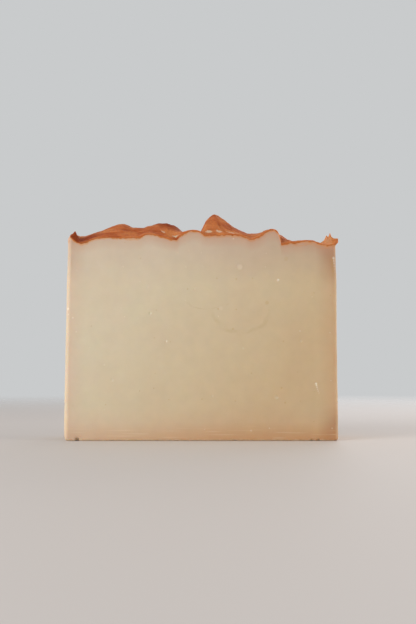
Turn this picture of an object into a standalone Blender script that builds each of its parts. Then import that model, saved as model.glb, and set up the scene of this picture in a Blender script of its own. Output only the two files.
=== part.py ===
"""A bar of cold-process soap, cut by wire from a loaf, with a spooned top under a rust-brown skin.

The bar stands on the face that lay on the mould's floor. X runs across the loaf, Y runs along it, and the
cut face at the front looks along -Y. The origin is the middle of the base. The textured top is a loft along
Y through five sections of the loaf, and the skin's lips at the mould's walls are raised on it.
"""

import math
from collections import namedtuple

import bmesh
import bpy
from mathutils import Vector, noise

MM = 0.001

# The cut bar
WIDTH = 89.0 * MM
THICKNESS = 26.0 * MM
BODY_HEIGHT = 65.0 * MM
EDGE_ROUND = 1.1 * MM
BASE_EASE = 0.35 * MM
SKIN = 0.4 * MM
SKIN_LEAN = 0.5

# How far the sides lean in from the mould's width: (share of the height, left and right inset in mm)
SIDES = (
    (0.0, 0.55, 0.25), (0.014, 0.2, 0.05), (0.042, 0.0, 0.0), (0.2, 0.1, 0.05), (0.42, 0.28, 0.3),
    (0.62, 0.42, 0.2), (0.82, 0.6, 0.05), (0.95, 0.85, 0.1),
)

# Sections of the spooned top, front to back: (percent of the width, rise above the body height in mm)
FRONT_CUT = (
    (0.0, -1.0), (5.1, -1.1), (7.4, -0.3), (9.1, 0.4), (13.8, 1.0), (21.4, 0.7), (26.6, 0.9), (29.3, 2.0),
    (31.7, 2.1), (33.5, 1.7), (36.9, 0.9), (40.5, 0.2), (42.2, 1.9), (43.5, 2.7), (46.8, 3.4), (49.1, 3.1),
    (50.3, 2.2), (51.9, 1.7), (63.9, 1.8), (65.5, 1.6), (68.3, 0.4), (70.5, 0.7), (72.2, 1.5), (73.9, 2.9),
    (76.0, 4.0), (77.6, 3.8), (78.8, 2.8), (79.5, -1.0), (80.4, -1.3), (82.9, -0.1), (88.8, 0.35),
    (93.5, -1.2), (100.0, -1.6),
)
CREST = (
    (0.0, 1.6), (3.2, 2.6), (6.4, 3.2), (9.7, 4.0), (13.2, 5.2), (16.8, 6.6), (19.7, 7.2), (24.7, 5.8),
    (27.5, 5.8), (30.6, 6.4), (35.9, 7.5), (39.8, 6.4), (43.0, 4.5), (46.1, 3.6), (49.9, 3.4), (51.1, 4.6),
    (52.3, 7.4), (53.7, 9.6), (55.2, 10.4), (58.0, 9.1), (61.8, 6.3), (65.8, 4.5), (69.0, 3.8), (75.7, 4.3),
    (79.7, 3.6), (82.8, 2.0), (88.8, 1.4), (94.7, 0.7), (100.0, -0.3),
)
TROUGH = (
    (0.0, -0.6), (7.0, 0.2), (13.0, 2.4), (20.0, 3.9), (26.0, 2.2), (31.0, 1.1), (38.0, 2.6), (44.0, 3.4),
    (50.0, 2.3), (58.0, 3.6), (64.0, 1.2), (70.0, -0.2), (77.0, 1.3), (83.0, 1.9), (90.0, 0.1), (100.0, -1.0),
)
FAR_SWELL = (
    (0.0, 0.1), (6.0, 1.4), (12.0, 3.9), (17.0, 4.3), (24.0, 1.6), (32.0, 2.3), (40.0, 5.2), (44.0, 5.6),
    (51.0, 3.0), (57.0, 1.0), (64.0, 3.1), (69.0, 3.8), (75.0, 1.6), (82.0, 0.4), (89.0, 1.8), (100.0, -0.7),
)
BACK_CUT = (
    (0.0, -0.9), (6.5, -0.6), (11.0, 1.0), (15.5, 2.7), (19.5, 2.9), (23.0, 1.1), (27.0, -0.2), (33.0, 0.7),
    (38.0, 2.6), (42.5, 3.8), (47.0, 3.3), (50.5, 1.2), (54.5, 0.3), (60.0, 1.2), (65.0, 3.0), (69.0, 3.3),
    (72.5, 0.9), (77.0, -0.6), (84.0, -0.2), (90.0, 0.8), (95.0, -0.3), (100.0, -1.3),
)
# Where each section lies, as a share of the thickness from the front cut
SECTIONS = ((0.0, FRONT_CUT), (0.34, CREST), (0.58, TROUGH), (0.79, FAR_SWELL), (1.0, BACK_CUT))

# The strokes of the spoon: they sway from side to side along the loaf, less near the mould's walls, and
# leave soft, long ripples
SWAY = 1.5 * MM
SWAY_FADE = 22.0 * MM
RIPPLE = 0.3 * MM
RIPPLE_WIDTH = 3.4 * MM
RIPPLE_LENGTH = 7.5 * MM
RIPPLE_FADE = 2.5 * MM

# The lip of skin that climbed each side wall of the mould: rise at the front cut, behind it and at the back
LIP_INSET = 0.7 * MM
LIP_OUTER = 0.9 * MM
LIP_INNER = 1.5 * MM
LEFT_LIP = ((0.0, 2.2), (0.1, 1.9), (0.3, 1.2), (0.5, 1.9), (0.68, 1.0), (0.85, 1.7), (1.0, 1.2))
RIGHT_LIP = ((0.0, 0.5), (0.12, 0.9), (0.3, 0.5), (0.45, 1.1), (0.6, 0.4), (0.8, 0.9), (1.0, 0.3))

# Torn points of skin on the lips: the side (-1 left, 1 right), the distance from it in mm, the depth from
# the front cut in percent of the thickness, the rise, the reach both ways and the outward lean in mm, and
# how blunt it is, where 1 is a spike
Tuft = namedtuple("Tuft", "side inset depth rise across along lean blunt")
TUFTS = (
    Tuft(side=-1, inset=2.0, depth=7.3, rise=2.1, across=2.2, along=2.2, lean=-0.1, blunt=1.3),
    Tuft(side=-1, inset=1.0, depth=48.0, rise=0.8, across=1.4, along=2.2, lean=0.1, blunt=2.0),
    Tuft(side=-1, inset=1.2, depth=81.0, rise=1.0, across=1.6, along=2.4, lean=0.0, blunt=2.0),
    Tuft(side=1, inset=2.3, depth=6.9, rise=1.9, across=2.9, along=1.7, lean=0.0, blunt=3.0),
    Tuft(side=1, inset=3.4, depth=6.2, rise=1.5, across=0.8, along=1.0, lean=0.0, blunt=1.0),
    Tuft(side=1, inset=2.2, depth=6.5, rise=2.5, across=0.8, along=1.0, lean=0.0, blunt=1.0),
    Tuft(side=1, inset=0.3, depth=5.0, rise=1.2, across=1.1, along=1.3, lean=1.0, blunt=1.2),
    Tuft(side=1, inset=0.9, depth=33.0, rise=0.8, across=1.3, along=2.0, lean=0.2, blunt=2.0),
    Tuft(side=1, inset=1.1, depth=65.0, rise=1.0, across=1.5, along=2.4, lean=0.1, blunt=2.0),
)
TUFT_HOLLOW = 1.4

# The net that carries the surface: its widest step, and the finer one near the sides and the cuts
STEP = 1.12 * MM
FINE_STEP = 0.4 * MM
FINE_SIDE = 4.4 * MM
FINE_FRONT = 3.2 * MM
FINE_BACK = 1.1 * MM

# Colours (sRGB) and finish
CREAM = (205, 185, 150)
RUST = (178, 101, 61)
CREAM_ROUGHNESS = 0.5
RUST_ROUGHNESS = 0.62
CREAM_SLOT, RUST_SLOT = 0, 1
SHARP_ANGLE = math.radians(50)


def smooth_line(knots):
    """A function that runs smoothly through the knots and never swings past them."""
    places = [knot[0] for knot in knots]
    values = [knot[1] for knot in knots]
    gaps = [b - a for a, b in zip(places, places[1:])]
    chords = [(b - a) / gap for a, b, gap in zip(values, values[1:], gaps)]
    slopes = [chords[0]]
    for i in range(1, len(chords)):
        left, right = chords[i - 1], chords[i]
        if left * right <= 0:
            slopes.append(0.0)
            continue
        near, far = 2 * gaps[i] + gaps[i - 1], gaps[i] + 2 * gaps[i - 1]
        slopes.append((near + far) / (near / left + far / right))
    slopes.append(chords[-1])

    def value_at(place):
        place = min(max(place, places[0]), places[-1])
        i = 0
        while i < len(gaps) - 1 and place > places[i + 1]:
            i += 1
        t = (place - places[i]) / gaps[i]
        start = (1 + 2 * t) * (1 - t) ** 2 * values[i] + t * (1 - t) ** 2 * gaps[i] * slopes[i]
        end = t * t * (3 - 2 * t) * values[i + 1] + t * t * (t - 1) * gaps[i] * slopes[i + 1]
        return start + end

    return value_at


left_inset = smooth_line([(share, left) for share, left, _ in SIDES])
right_inset = smooth_line([(share, right) for share, _, right in SIDES])
left_lip = smooth_line(LEFT_LIP)
right_lip = smooth_line(RIGHT_LIP)
sections = [(share * THICKNESS, smooth_line(knots)) for share, knots in SECTIONS]


def side_at(side, z):
    """X of the left (-1) or right (1) side of the loaf at a height."""
    inset = (left_inset if side < 0 else right_inset)(z / BODY_HEIGHT)
    return side * (WIDTH / 2 - inset * MM)


def lip_rise(inset, depth, crest):
    """Height of the lip at one place: crest is its rise along the loaf, a function of the depth's share."""
    reach = LIP_OUTER if inset < LIP_INSET else LIP_INNER
    return crest(depth / THICKNESS) * MM * math.exp(-(((inset - LIP_INSET) / reach) ** 2))


def tufts_at(left, right, depth):
    """(rise, outward move) that the torn points give a place, from its distances to both sides."""
    rise, move = 0.0, 0.0
    for tuft in TUFTS:
        aside = (left if tuft.side < 0 else right) / MM - tuft.inset
        behind = (depth - tuft.depth / 100 * THICKNESS) / MM
        away = math.hypot(aside / tuft.across, behind / tuft.along)
        if away < 1:
            share = (1 - away**tuft.blunt) ** TUFT_HOLLOW
            rise += tuft.rise * MM * share
            move += tuft.side * tuft.lean * MM * share
    return rise, move


def sway(left, right, depth):
    """How far the spoon's strokes have swung aside at one place. The first two sections keep theirs."""
    crest_depth = sections[1][0]
    return SWAY * min(1.0, left / SWAY_FADE, right / SWAY_FADE) * math.sin(math.pi * depth / crest_depth)


def swell(across, depth):
    """Rise of the spooned top, in mm: the loft along Y through the five sections."""
    percent = 100 * across / WIDTH
    return smooth_line([(place, line(percent)) for place, line in sections])(depth)


def ripple(across, depth):
    """The long soft ripples of the strokes, which fade out at both cuts."""
    fade = min(1.0, depth / RIPPLE_FADE, (THICKNESS - depth) / RIPPLE_FADE)
    return RIPPLE * fade * noise.noise(Vector((across / RIPPLE_WIDTH, depth / RIPPLE_LENGTH, 0.0)))


def top_height(left, right, depth):
    """Height of the skin, where the swells, the ripples, the lips and the torn points add up."""
    across = left + sway(left, right, depth)
    rise = swell(across, depth) * MM + ripple(across, depth)
    rise += lip_rise(left, depth, left_lip) + lip_rise(right, depth, right_lip)
    return BODY_HEIGHT + rise + tufts_at(left, right, depth)[0]


def stations(marks):
    """Places from the first mark to the last: (mark, widest step after it), in equal steps between marks."""
    places = []
    for (start, step), (end, _) in zip(marks, marks[1:]):
        count = math.ceil((end - start) / step)
        places += [start + (end - start) * i / count for i in range(count)]
    return places + [marks[-1][0]]


def column_shares():
    """Places of the net's columns across the loaf, as shares: one at each knot of the front cut."""
    marks = []
    for percent, _ in FRONT_CUT:
        inset = min(percent, 100 - percent) / 100 * WIDTH
        marks.append((percent / 100, (FINE_STEP if inset < FINE_SIDE else STEP) / WIDTH))
    return stations(marks)


def row_shares():
    """Places of the net's rows along the loaf, as shares of the thickness, finer near both cuts."""
    marks = ((0.0, FINE_STEP), (FINE_FRONT, STEP), (THICKNESS - FINE_BACK, FINE_STEP), (THICKNESS, 1.0))
    return [place / THICKNESS for place in stations(marks)]


def rounded(across, along, half_width, half_length):
    """Moves a place near a vertical edge of the bar in to the edge's round, and leaves the rest."""
    a = 1 - (half_width - abs(across)) / EDGE_ROUND
    b = 1 - (half_length - abs(along)) / EDGE_ROUND
    if a <= 0 or b <= 0:
        return across, along
    across_in = half_width - EDGE_ROUND + EDGE_ROUND * a * math.sqrt(1 - b * b / 2)
    along_in = half_length - EDGE_ROUND + EDGE_ROUND * b * math.sqrt(1 - a * a / 2)
    return math.copysign(across_in, across), math.copysign(along_in, along)


def place_on_bar(across_share, depth_share, z, ease=0.0):
    """The point of the bar at shares of its width and thickness, at a height."""
    low, high = side_at(-1, z), side_at(1, z)
    middle, half_width = (low + high) / 2, (high - low) / 2 - ease
    half_length = THICKNESS / 2 - ease
    across = (2 * across_share - 1) * half_width
    along = (2 * depth_share - 1) * half_length
    across, along = rounded(across, along, half_width, half_length)
    return middle + across, along, z


def insets(across_share, depth_share):
    """(distance from the left side, distance from the right side, depth from the front cut)."""
    return across_share * WIDTH, (1 - across_share) * WIDTH, depth_share * THICKNESS


def skin_grid(net):
    """Makes the grid of the skin and raises it. Gives each point's shares, height and sideways lean."""
    columns, rows = column_shares(), row_shares()
    bmesh.ops.create_grid(net, x_segments=len(columns) - 1, y_segments=len(rows) - 1, size=0.5)
    points = {}
    for vert in net.verts:
        across = columns[round((vert.co.x + 0.5) * (len(columns) - 1))]
        depth = rows[round((vert.co.y + 0.5) * (len(rows) - 1))]
        place = insets(across, depth)
        points[vert] = (across, depth, top_height(*place), tufts_at(*place)[1])
    for vert, (across, depth, height, lean) in points.items():
        vert.co = place_on_bar(across, depth, height)
        vert.co.x += lean
    for face in net.faces:
        face.material_index = RUST_SLOT
    return points


def lower_rim(net, rim, points, height_of, ease, lean_share, slot):
    """Extrudes a row of wall points down from the rim, and gives the new rim.

    The row keeps the shares of the rim above it and a share of its lean, and is eased in from all sides.
    """
    made = bmesh.ops.extrude_edge_only(net, edges=rim)["geom"]
    below = [item for item in made if isinstance(item, bmesh.types.BMEdge)]
    for face in (item for item in made if isinstance(item, bmesh.types.BMFace)):
        face.material_index = slot
    for vert in {vert for edge in below for vert in edge.verts}:
        above = next(edge.other_vert(vert) for edge in vert.link_edges if edge not in below)
        points[vert] = points[above]
        across, depth, height, lean = points[vert]
        vert.co = place_on_bar(across, depth, height_of(height), ease)
        vert.co.x += lean * lean_share
    return below


def loaf_net():
    """The net of the bar: a grid for the skin, walls extruded down from its rim, and a base."""
    net = bmesh.new()
    points = skin_grid(net)
    lowest = min(height for _, _, height, _ in points.values()) - SKIN
    rim = [edge for edge in net.edges if edge.is_boundary]
    rim = lower_rim(net, rim, points, lambda height: height - SKIN, 0.0, SKIN_LEAN, RUST_SLOT)
    rows = [share * BODY_HEIGHT for share, _, _ in SIDES if BASE_EASE < share * BODY_HEIGHT < lowest]
    for row in [*reversed(rows), BASE_EASE, 0.0]:
        ease = 0.0 if row else BASE_EASE
        rim = lower_rim(net, rim, points, lambda height, row=row: row, ease, 0.0, CREAM_SLOT)
    base = bmesh.ops.contextual_create(net, geom=rim)["faces"]
    for face in bmesh.ops.poke(net, faces=base)["faces"]:
        face.material_index = CREAM_SLOT
    return net


def soap_material(name, colour, roughness):
    """A plain soap finish of one sRGB colour."""
    material = bpy.data.materials.new(name)
    material.use_nodes = True
    shader = material.node_tree.nodes["Principled BSDF"]
    linear = [((c / 255 + 0.055) / 1.055) ** 2.4 for c in colour]
    shader.inputs["Base Color"].default_value = (*linear, 1.0)
    shader.inputs["Roughness"].default_value = roughness
    shader.inputs["Metallic"].default_value = 0.0
    material.diffuse_color = (*linear, 1.0)
    return material


def soap_bar(collection):
    """The whole bar as one solid, cream with the rust skin on top and in the thin line round its rim."""
    net = loaf_net()
    bmesh.ops.recalc_face_normals(net, faces=net.faces)
    mesh = bpy.data.meshes.new("soap_bar")
    net.to_mesh(mesh)
    net.free()
    mesh.materials.append(soap_material("cream_soap", CREAM, CREAM_ROUGHNESS))
    mesh.materials.append(soap_material("rust_skin", RUST, RUST_ROUGHNESS))
    mesh.shade_smooth()
    mesh.set_sharp_from_angle(angle=SHARP_ANGLE)
    bar = bpy.data.objects.new("soap_bar", mesh)
    collection.objects.link(bar)
    return bar


def main():
    for thing in list(bpy.data.objects):
        bpy.data.objects.remove(thing, do_unlink=True)
    collection = bpy.data.collections.new("bar_of_soap")
    bpy.context.scene.collection.children.link(collection)
    soap_bar(collection)


main()
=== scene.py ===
"""Looks of a bar of cold-process soap, cut by wire from a loaf, with a spooned top under a rust-brown skin.

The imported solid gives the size. One piece, the cut bar, stands in its place: the same spooned top on a finer
net, with the strokes, tears, bare places, pits and chips that the solid leaves out.
"""

import math
from collections import namedtuple
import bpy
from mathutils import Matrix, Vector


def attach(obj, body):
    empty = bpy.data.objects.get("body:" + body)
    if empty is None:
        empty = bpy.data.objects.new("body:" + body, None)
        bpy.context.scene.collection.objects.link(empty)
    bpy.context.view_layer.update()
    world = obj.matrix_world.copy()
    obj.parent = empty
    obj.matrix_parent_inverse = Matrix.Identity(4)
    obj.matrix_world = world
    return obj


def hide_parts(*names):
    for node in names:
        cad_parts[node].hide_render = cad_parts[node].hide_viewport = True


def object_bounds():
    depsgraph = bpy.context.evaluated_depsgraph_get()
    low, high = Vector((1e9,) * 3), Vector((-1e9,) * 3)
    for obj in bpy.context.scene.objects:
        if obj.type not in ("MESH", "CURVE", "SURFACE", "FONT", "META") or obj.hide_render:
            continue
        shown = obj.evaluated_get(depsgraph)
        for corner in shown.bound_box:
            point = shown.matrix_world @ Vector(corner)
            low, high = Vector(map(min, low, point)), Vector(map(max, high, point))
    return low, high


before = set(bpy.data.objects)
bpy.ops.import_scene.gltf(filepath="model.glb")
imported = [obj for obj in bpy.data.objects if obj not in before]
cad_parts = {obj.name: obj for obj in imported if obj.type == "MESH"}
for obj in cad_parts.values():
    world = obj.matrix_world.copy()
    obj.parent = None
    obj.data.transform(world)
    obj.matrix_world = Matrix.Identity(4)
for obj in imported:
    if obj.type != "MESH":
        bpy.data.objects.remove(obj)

from types import SimpleNamespace

import bmesh
import bpy
from bpy.props import FloatProperty, FloatVectorProperty, PointerProperty
from mathutils import Vector, noise

SOLID_BOX = [list(corner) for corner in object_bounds()]

bl_info = {
    "name": "Bar of Loaf Soap",
    "version": (1, 0, 0),
    "blender": (4, 5, 0),
    "location": "3D View > Sidebar > Soap",
    "description": "Models and finishes a hand-cut bar of cold-process soap over its packed solid",
    "category": "Object",
}

MM = 0.001

# The cut bar. Its sizes are the solid's, and the rounds of its upright edges and its base follow the photo.
WIDTH = 89.0 * MM
THICKNESS = 26.0 * MM
BODY_HEIGHT = 65.0 * MM
EDGE_ROUND = 1.4 * MM
BASE_EASE = 0.35 * MM
LEAN_REACH = 0.8 * MM

# How far the sides lean in from the mould's width: (share of the height, left and right inset in mm)
SIDES = (
    (0.0, 0.55, 0.2), (0.014, 0.2, 0.0), (0.042, 0.0, 0.0), (0.2, 0.05, 0.0), (0.42, 0.15, 0.05),
    (0.62, 0.28, 0.05), (0.82, 0.4, 0.02), (0.88, 0.5, 0.16), (0.95, 0.6, 0.2),
)

# Sections of the spooned top, front to back: (percent of the width, rise above the body height in mm)
FRONT_CUT = (
    (0.0, -0.7), (3.6, -0.25), (5.1, -0.4), (7.4, 0.05), (9.1, 0.8), (13.8, 1.5), (21.4, 1.4), (26.6, 1.5),
    (29.3, 2.45), (31.7, 2.55), (33.5, 2.15), (36.9, 1.35), (40.5, 0.65), (42.2, 2.05), (43.5, 2.85),
    (46.8, 3.75), (49.1, 3.45), (50.3, 2.65), (51.9, 2.15), (59.0, 2.4), (63.9, 2.2), (65.5, 1.95),
    (68.3, 0.8), (70.9, 1.65), (72.4, 2.35), (73.9, 3.2), (76.0, 4.1), (77.6, 3.8), (78.8, 2.5), (79.2, 1.3),
    (79.5, -0.45), (80.4, -0.7), (82.9, -0.15), (84.8, -0.1), (88.8, 0.35), (91.4, 0.25), (93.5, -0.55),
    (100.0, -1.3),
)
CREST = (
    (0.0, 1.6), (3.2, 2.6), (6.4, 3.2), (9.7, 4.0), (13.2, 5.2), (16.8, 6.6), (19.7, 7.2), (24.7, 5.8),
    (27.5, 5.8), (30.6, 6.4), (35.9, 7.5), (39.8, 6.4), (43.0, 4.5), (46.1, 3.6), (49.9, 3.4), (51.1, 4.6),
    (52.3, 7.4), (53.7, 9.6), (55.2, 10.4), (58.0, 9.1), (61.8, 6.3), (65.8, 4.5), (69.0, 3.7), (72.0, 3.6),
    (75.7, 4.2), (79.7, 3.6), (82.8, 1.85), (86.0, 1.15), (88.8, 1.2), (94.7, 0.8), (100.0, -0.3),
)
TROUGH = (
    (0.0, -0.6), (7.0, 0.2), (13.0, 2.4), (20.0, 3.9), (26.0, 2.2), (31.0, 1.1), (38.0, 2.6), (44.0, 3.4),
    (50.0, 2.3), (58.0, 3.6), (64.0, 1.2), (70.0, -0.2), (77.0, 1.3), (83.0, 1.9), (90.0, 0.1), (100.0, -1.0),
)
FAR_SWELL = (
    (0.0, 0.1), (6.0, 1.4), (12.0, 3.9), (17.0, 4.3), (24.0, 1.6), (32.0, 2.3), (40.0, 5.2), (44.0, 5.6),
    (51.0, 3.0), (57.0, 1.0), (64.0, 3.1), (69.0, 3.8), (75.0, 1.6), (82.0, 0.4), (89.0, 1.8), (100.0, -0.7),
)
BACK_CUT = (
    (0.0, -0.9), (6.5, -0.6), (11.0, 1.0), (15.5, 2.7), (19.5, 2.9), (23.0, 1.1), (27.0, -0.2), (33.0, 0.7),
    (38.0, 2.6), (42.5, 3.8), (47.0, 3.3), (50.5, 1.2), (54.5, 0.3), (60.0, 1.2), (65.0, 3.0), (69.0, 3.3),
    (72.5, 0.9), (77.0, -0.6), (84.0, -0.2), (90.0, 0.8), (95.0, -0.3), (100.0, -1.3),
)
# Where each section lies, as a share of the thickness from the front cut
SECTIONS = ((0.0, FRONT_CUT), (0.34, CREST), (0.58, TROUGH), (0.79, FAR_SWELL), (1.0, BACK_CUT))

# The strokes of the spoon sway from side to side along the loaf and leave soft, long ripples
SWAY = 1.5 * MM
SWAY_FADE = 22.0 * MM
RIPPLE = 0.3 * MM
RIPPLE_WIDTH = 3.4 * MM
RIPPLE_LENGTH = 7.5 * MM
RIPPLE_FADE = 2.5 * MM

# The lip of skin that climbed each side wall of the mould
LIP_INSET = 0.7 * MM
LIP_OUTER = 0.9 * MM
LIP_INNER = 1.5 * MM
LEFT_LIP = ((0.0, 2.2), (0.1, 1.9), (0.3, 1.2), (0.5, 1.9), (0.68, 1.0), (0.85, 1.7), (1.0, 1.2))
RIGHT_LIP = ((0.0, 0.5), (0.12, 0.9), (0.3, 0.5), (0.45, 1.1), (0.6, 0.4), (0.8, 0.9), (1.0, 0.3))

# Torn points of skin on the lips, in mm, with the depth in percent of the thickness: the side (-1 is left),
# the inset from it, the depth, rise, half sizes and outward lean, and how blunt each one is
Tuft = namedtuple("Tuft", "side inset depth rise across along lean blunt")
TUFTS = (
    Tuft(-1, 2.5, 7.3, 1.7, 2.1, 2.2, -0.1, 1.3),
    Tuft(-1, 2.15, 7.0, 0.9, 0.8, 1.2, 0.0, 1.1),
    Tuft(-1, 1.0, 48.0, 0.8, 1.4, 2.2, 0.1, 2.0),
    Tuft(-1, 1.2, 81.0, 1.0, 1.6, 2.4, 0.0, 2.0),
    Tuft(1, 2.3, 6.9, 1.3, 2.9, 1.7, 0.0, 3.0),
    Tuft(1, 3.0, 6.2, 1.6, 1.0, 1.1, 0.0, 1.1),
    Tuft(1, 1.8, 6.5, 2.3, 0.9, 1.1, 0.0, 1.1),
    Tuft(1, 0.3, 5.0, 0.8, 1.1, 1.3, 1.5, 1.2),
    Tuft(1, 0.9, 33.0, 0.8, 1.3, 2.0, 0.2, 2.0),
    Tuft(1, 1.1, 65.0, 1.0, 1.5, 2.4, 0.1, 2.0),
)
TUFT_HOLLOW = 1.4

# The net: (place, widest step after it) in mm, across from the left side and along from the front cut
COLUMN_MARKS = ((0.0, 0.12), (0.6, 0.2), (5.0, 0.3), (84.0, 0.2), (88.4, 0.12), (89.0, 1.0))
ROW_MARKS = ((0.0, 0.06), (0.18, 0.16), (0.5, 0.2), (5.2, 0.4), (25.3, 0.2), (25.82, 0.06), (26.0, 1.0))
# Rows of the walls: below the rim, heights above the base, and the step of those between, in mm
RIM_ROWS = (0.12, 0.3, 0.55, 0.9, 1.4)
FOOT_ROWS = (1.6, 1.15, 0.75, 0.35, 0.0)
WALL_STEP = 1.28

# Fine relief of the skin, in mm: strokes along the bar's width, which drift, flutes down the peak and in some
# places elsewhere, and crumpled skin. Real crumples are finer than a pixel, so they are drawn coarser, 0.7
# and 0.3 mm wide.
DRIFT = 2.4
DRIFT_WIDTH = 8.0
FLUTED_WIDTH = 13.0
STROKE_LENGTH = 7.0
STROKE_PITCH = 1.1
FLUTE_LENGTH = 6.0
FLUTE_PITCH = 1.5
CRUMPLE_PITCH = 0.7
FINENESS = 2.2
# The peak: how far from the left side and behind the front cut, and its reach both ways
PEAK = (48.5, 5.5, 4.5, 6.0)
CUT_ARRIS = 0.18
RELIEF_FADE = 1.3

# Places where the skin is torn away (bare 1), thin enough to show the cream through it (thin 1) or dark,
# partly from pooled oxide and partly as painted shade (the last, in mm of hollow), in mm: X, depth from the
# front cut, half sizes, turn in degrees
Patch = namedtuple("Patch", "x depth across along turn bare thin pooled", defaults=(0, 0.0, 0.0, 0.0))
PATCHES = (
    Patch(-12.9, 3.0, 1.1, 0.46, turn=-20, bare=0.75, thin=1.0),
    Patch(-10.2, 2.9, 3.0, 1.5, turn=-15, thin=0.85),
    Patch(-8.8, 1.5, 1.5, 0.46, turn=-24, bare=1.0, thin=1.0),
    Patch(2.3, 1.5, 1.6, 0.52, turn=-16, bare=1.0, thin=0.8),
    Patch(5.75, 1.3, 1.45, 0.5, turn=-6, bare=0.95, thin=0.9),
    Patch(6.3, 0.2, 1.6, 0.5, thin=0.8),
    Patch(3.6, 3.6, 1.1, 2.8, thin=0.3),
    Patch(10.7, 2.7, 3.2, 0.8, turn=-8, thin=0.95),
    Patch(9.6, 2.0, 2.1, 0.9, turn=-10, bare=0.54, thin=0.9),
    Patch(13.4, 1.9, 1.3, 1.5, bare=0.7, thin=0.9),
    Patch(42.0, 0.6, 3.4, 2.4, thin=1.15),
    Patch(-40.6, 0.8, 3.9, 3.6, pooled=1.2),
    Patch(-38.6, 1.6, 6.6, 5.4, pooled=0.8),
    Patch(-12.0, 7.6, 6.5, 3.2, pooled=0.75),
    Patch(-37.2, 0.2, 3.4, 0.55, thin=0.5),
    Patch(-23.0, 0.2, 2.8, 0.5, thin=0.6),
    Patch(-23.5, 2.4, 2.4, 1.3, turn=-10, thin=0.45),
    Patch(-25.0, 8.0, 6.0, 1.8, pooled=0.12),
    Patch(3.0, 0.5, 4.4, 0.9, pooled=0.6),
    Patch(6.9, 2.6, 0.9, 3.0, turn=34, pooled=0.6),
    Patch(12.0, 7.6, 5.0, 2.0, pooled=0.3),
    Patch(-21.0, 15.5, 2.6, 0.9, turn=15, bare=0.75, thin=0.9),
    Patch(24.5, 19.0, 1.8, 0.8, turn=-20, bare=0.8, thin=0.9),
    Patch(-2.0, 20.5, 2.2, 0.7, turn=8, bare=0.55, thin=0.9),
)
# How deep a bare place lies, and how ragged its edges are
BARE_RECESS = 0.22
RAG = 0.35
RAG_WIDTH = (0.7, 0.5)
# The left edge of the skin is bare up to the first distance and covered from the second on, in mm, from the
# side and from the front cut
BARE_ASIDE = (0.45, 0.85)
BARE_BEHIND = (0.9, 5.4)
# The crown of torn points at the right of the front cut, in mm: how far back it reaches, how thin its skin is
# at the foot and at most, how much less so at its tips, the rise of those, and where it ends at the side
CROWN_DEPTH = 4.0
CROWN_BASE = 0.5
CROWN_MOST = 1.14
CROWN_TIP_DROP = 0.14
CROWN_TIPS = (1.8, 2.8)
CROWN_SIDE = (87.2, 88.8)

# Folds in the skin: a line of (X, depth) in mm, and the fold's half width and depth, and how far one reaches
Fold = namedtuple("Fold", "line half_width deep")
FOLDS = (
    Fold(((5.2, 5.2), (5.9, 3.6), (6.6, 2.7), (7.2, 1.7), (8.2, 0.8)), 0.42, 0.34),
    Fold(((-16.0, 2.2), (-12.5, 1.3), (-9.5, 0.5)), 0.35, 0.18),
    Fold(((-33.0, 5.5), (-27.0, 4.0), (-21.0, 3.4), (-16.5, 4.2)), 0.4, 0.16),
    Fold(((-30.0, 7.5), (-24.5, 5.6), (-18.5, 6.4)), 0.35, 0.14),
    Fold(((10.0, 5.4), (13.0, 4.2), (16.0, 3.0)), 0.35, 0.2),
    Fold(((26.0, 5.6), (27.4, 3.4), (28.4, 1.2)), 0.4, 0.2),
    Fold(((-38.0, 15.0), (-30.0, 13.2), (-22.0, 14.4), (-14.0, 12.6)), 0.45, 0.24),
    Fold(((-6.0, 14.0), (2.0, 12.8), (11.0, 14.6), (19.0, 13.2)), 0.45, 0.24),
    Fold(((24.0, 10.5), (31.0, 12.2), (38.0, 11.2)), 0.4, 0.2),
    Fold(((-33.0, 20.5), (-25.0, 22.0), (-17.0, 20.4)), 0.4, 0.2),
    Fold(((4.0, 21.8), (12.0, 20.2), (21.0, 22.4)), 0.4, 0.2),
)
FOLD_REACH = 2.0

# Dents of the mould faces, as (depth, length along Y and Z), and the waver of the wire, in mm
DENTS = ((0.05, 7.0, 6.0), (0.03, 1.8, 2.2))
WAVER, WAVER_LENGTH, WAVER_HEIGHT = 0.03, 26.0, 5.0
DENT_FADE = 1.5
# How near its plane in mm a point belongs to a mould face, and to a cut
SIDE_BAND = 1.6
CUT_BAND = 1.2

# The two cuts: which way each one faces along Y
FRONT, REAR = -1, 1

# Chips out of the bottom edges of the cuts: X, half width, height and depth in mm
Chip = namedtuple("Chip", "cut x half_width height deep")
CHIPS = (
    Chip(FRONT, -39.8, 0.9, 1.0, 0.9),
    Chip(FRONT, 35.8, 0.7, 0.55, 0.5),
    Chip(FRONT, 38.1, 0.5, 0.8, 0.5),
    Chip(FRONT, 11.0, 0.6, 0.4, 0.35),
    Chip(FRONT, -14.0, 0.5, 0.35, 0.3),
    Chip(FRONT, -28.5, 0.4, 0.35, 0.3),
    Chip(REAR, -33.5, 0.8, 0.7, 0.6),
    Chip(REAR, -8.5, 0.5, 0.4, 0.35),
    Chip(REAR, 21.7, 0.9, 0.5, 0.5),
    Chip(REAR, 41.0, 0.7, 0.8, 0.7),
)
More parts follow.
